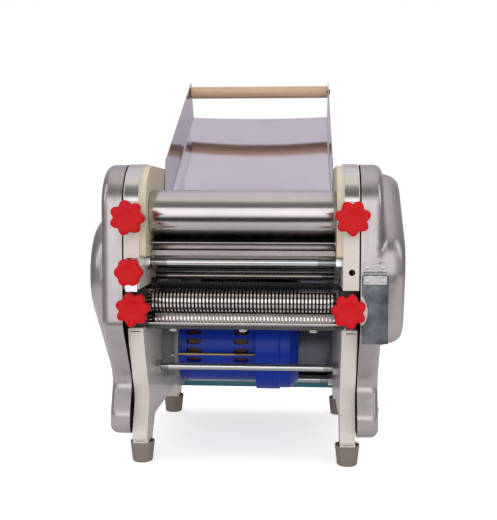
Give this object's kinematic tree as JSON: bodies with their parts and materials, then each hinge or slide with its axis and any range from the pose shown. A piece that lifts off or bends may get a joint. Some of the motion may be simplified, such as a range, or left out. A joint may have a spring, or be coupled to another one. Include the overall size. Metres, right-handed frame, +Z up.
{
  "type": "dough sheeter",
  "caption": "Motor-driven tabletop dough sheeter: two steel rollers under a sloping tray, noodle cutter cartridge, twin side frames with drawn covers.",
  "frame": {"origin": "on the floor under the middle of the whole machine's bounding box", "axes": "+Z up, +Y from the front knobs to the back, +X to the right as seen from the front"},
  "size_m": [0.42, 0.4925, 0.5585],
  "materials": {
    "cream_paint": "satin cream paint",
    "guard_plastic": "smooth moulded plastic",
    "stainless": "satin deep-drawn stainless",
    "polished_sheet": "polished stainless sheet",
    "polished_steel": "ground and polished steel",
    "zinc": "zinc plated",
    "zinc_sheet": "dull zinc sheet",
    "dark_steel": "blackened steel",
    "gear_steel": "cut steel",
    "bronze": "bearing bronze",
    "brass_bolt": "yellow passivated",
    "cast_iron": "machined casting",
    "belt_rubber": "matt",
    "motor_blue": "gloss blue paint",
    "motor_grey": "grey paint",
    "red_plastic": "moulded red plastic",
    "foot_rubber": "grey-brown rubber",
    "film": "unpeeled protective film",
    "wood": "bare turned wood",
    "black_plastic": "moulded"
  },
  "bodies": {
    "machine": {"left_side_frame": "cream_paint", "right_side_frame": "cream_paint", "roller_guards": "guard_plastic", "left_cover": "stainless", "right_cover": "stainless", "tray": "polished_sheet", "rear_panel": "polished_sheet", "head_bands": "polished_sheet", "latch_plate": "polished_sheet", "front_scraper": "polished_sheet", "rear_scraper": "polished_sheet", "tie_rods": "zinc", "tie_rod_nuts": "zinc", "cover_screws": "zinc", "hinge_upper_leaf": "zinc", "flap_hinge_pin": "zinc", "tray_screws": "zinc", "slide_guides": "dark_steel", "idler_axle": "gear_steel", "bearing_bushes": "bronze", "motor_through_bolts": "brass_bolt", "motor_stator": "brass_bolt", "drive_belt": "belt_rubber", "motor_housing": "motor_blue", "motor_end_bell": "motor_blue", "motor_bracket": "motor_grey", "rubber_feet": "foot_rubber", "protective_film": "film", "switch_housing": "black_plastic", "cable_gland": "black_plastic"},
    "front_carriage": {"bearing_slides": "dark_steel"},
    "front_roller_unit": {"front_roller": "polished_steel", "front_roller_gear": "gear_steel"},
    "rear_roller_unit": {"rear_roller": "polished_steel", "rear_roller_gear": "gear_steel", "main_gear": "gear_steel"},
    "jackshaft_unit": {"jackshaft": "gear_steel", "cutter_pinion": "gear_steel", "large_pulley": "cast_iron"},
    "motor_rotor_unit": {"motor_rotor": "gear_steel", "motor_pulley": "cast_iron"},
    "cutter_idler_unit": {"cutter_idler_gear": "gear_steel"},
    "cutter_cartridge": {"cutter_end_blocks": "dark_steel", "upper_comb": "dark_steel", "lower_comb": "dark_steel", "cutter_bar": "dark_steel", "cutter_bar_screws": "zinc"},
    "upper_cutter_unit": {"upper_cutter_roller": "polished_steel", "cutter_gear": "gear_steel"},
    "lower_cutter_unit": {"lower_cutter_roller": "polished_steel"},
    "left_gap_knob_unit": {"left_gap_knob": "red_plastic"},
    "right_gap_knob_unit": {"right_gap_knob": "red_plastic"},
    "left_cutter_knob_unit": {"left_cutter_knob": "red_plastic"},
    "right_cutter_knob_unit": {"right_cutter_knob": "red_plastic"},
    "latch_knob_unit": {"latch_knob": "red_plastic"},
    "flap_unit": {"flap": "zinc_sheet", "flap_hinge_leaf": "zinc", "flap_screws": "zinc"},
    "wooden_roller_unit": {"wooden_roller": "wood"},
    "switch_rocker_unit": {"switch_rocker": "black_plastic"}
  },
  "joints": [
    {"name": "front_roller_gap", "type": "slide", "parent": "machine", "child": "front_carriage", "axis": [0, -1, 0], "range_m": [0, 0.004]},
    {"name": "front_roller_spin", "type": "hinge", "parent": "front_carriage", "child": "front_roller_unit", "pos_m": [0.003, -0.1683, 0.337], "axis": [1, 0, 0], "continuous": true},
    {"name": "rear_roller_spin", "type": "hinge", "parent": "machine", "child": "rear_roller_unit", "pos_m": [0.003, -0.12909, 0.29093], "axis": [1, 0, 0], "continuous": true},
    {"name": "jackshaft_spin", "type": "hinge", "parent": "machine", "child": "jackshaft_unit", "pos_m": [0.003, -0.06615, 0.252], "axis": [1, 0, 0], "continuous": true},
    {"name": "motor_spin", "type": "hinge", "parent": "machine", "child": "motor_rotor_unit", "pos_m": [0.003, -0.0063, 0.14], "axis": [1, 0, 0], "continuous": true},
    {"name": "cutter_idler_spin", "type": "hinge", "parent": "machine", "child": "cutter_idler_unit", "pos_m": [0.15, -0.1041, 0.221], "axis": [1, 0, 0], "continuous": true},
    {"name": "cartridge_slide", "type": "slide", "parent": "machine", "child": "cutter_cartridge", "axis": [0, -1, 0], "range_m": [0, 0.12]},
    {"name": "upper_cutter_spin", "type": "hinge", "parent": "cutter_cartridge", "child": "upper_cutter_unit", "pos_m": [0.003, -0.1581, 0.221], "axis": [1, 0, 0], "continuous": true},
    {"name": "lower_cutter_spin", "type": "hinge", "parent": "cutter_cartridge", "child": "lower_cutter_unit", "pos_m": [0.003, -0.14825, 0.19586], "axis": [1, 0, 0], "continuous": true},
    {"name": "left_gap_knob_turn", "type": "hinge", "parent": "machine", "child": "left_gap_knob_unit", "pos_m": [-0.135, -0.2163, 0.332], "axis": [0, 1, 0], "range_deg": [0, 1153]},
    {"name": "right_gap_knob_turn", "type": "hinge", "parent": "machine", "child": "right_gap_knob_unit", "pos_m": [0.141, -0.2163, 0.332], "axis": [0, 1, 0], "range_deg": [0, 1153]},
    {"name": "left_cutter_knob_turn", "type": "hinge", "parent": "cutter_cartridge", "child": "left_cutter_knob_unit", "pos_m": [-0.132, -0.2163, 0.2165], "axis": [0, 1, 0], "range_deg": [-1440, 0]},
    {"name": "right_cutter_knob_turn", "type": "hinge", "parent": "cutter_cartridge", "child": "right_cutter_knob_unit", "pos_m": [0.138, -0.2163, 0.2165], "axis": [0, 1, 0], "range_deg": [-1440, 0]},
    {"name": "latch_knob_turn", "type": "hinge", "parent": "machine", "child": "latch_knob_unit", "pos_m": [-0.135, -0.2163, 0.264], "axis": [0, 1, 0], "range_deg": [-1080, 0]},
    {"name": "flap_hinge", "type": "hinge", "parent": "machine", "child": "flap_unit", "pos_m": [0.1705, -0.2193, 0.2632], "axis": [-1, 0, 0], "range_deg": [0, 100]},
    {"name": "wooden_roller_spin", "type": "hinge", "parent": "machine", "child": "wooden_roller_unit", "pos_m": [0.003, 0.20922, 0.54076], "axis": [1, 0, 0], "continuous": true},
    {"name": "switch_rock", "type": "hinge", "parent": "machine", "child": "switch_rocker_unit", "pos_m": [-0.077, 0.1442, 0.105], "axis": [1, 0, 0], "range_deg": [-7, 7]}
  ],
  "couplings": [
    {"joint": "front_roller_spin", "follows": "rear_roller_spin", "ratio": -1},
    {"joint": "jackshaft_spin", "follows": "rear_roller_spin", "ratio": -3.9333},
    {"joint": "motor_spin", "follows": "rear_roller_spin", "ratio": -14.75},
    {"joint": "cutter_idler_spin", "follows": "rear_roller_spin", "ratio": 1.4204},
    {"joint": "upper_cutter_spin", "follows": "rear_roller_spin", "ratio": -2.8407},
    {"joint": "lower_cutter_spin", "follows": "rear_roller_spin", "ratio": 2.8407},
    {"joint": "left_gap_knob_turn", "follows": "front_roller_gap", "rad_per_m": 5026.5},
    {"joint": "right_gap_knob_turn", "follows": "front_roller_gap", "rad_per_m": 5026.5}
  ]
}
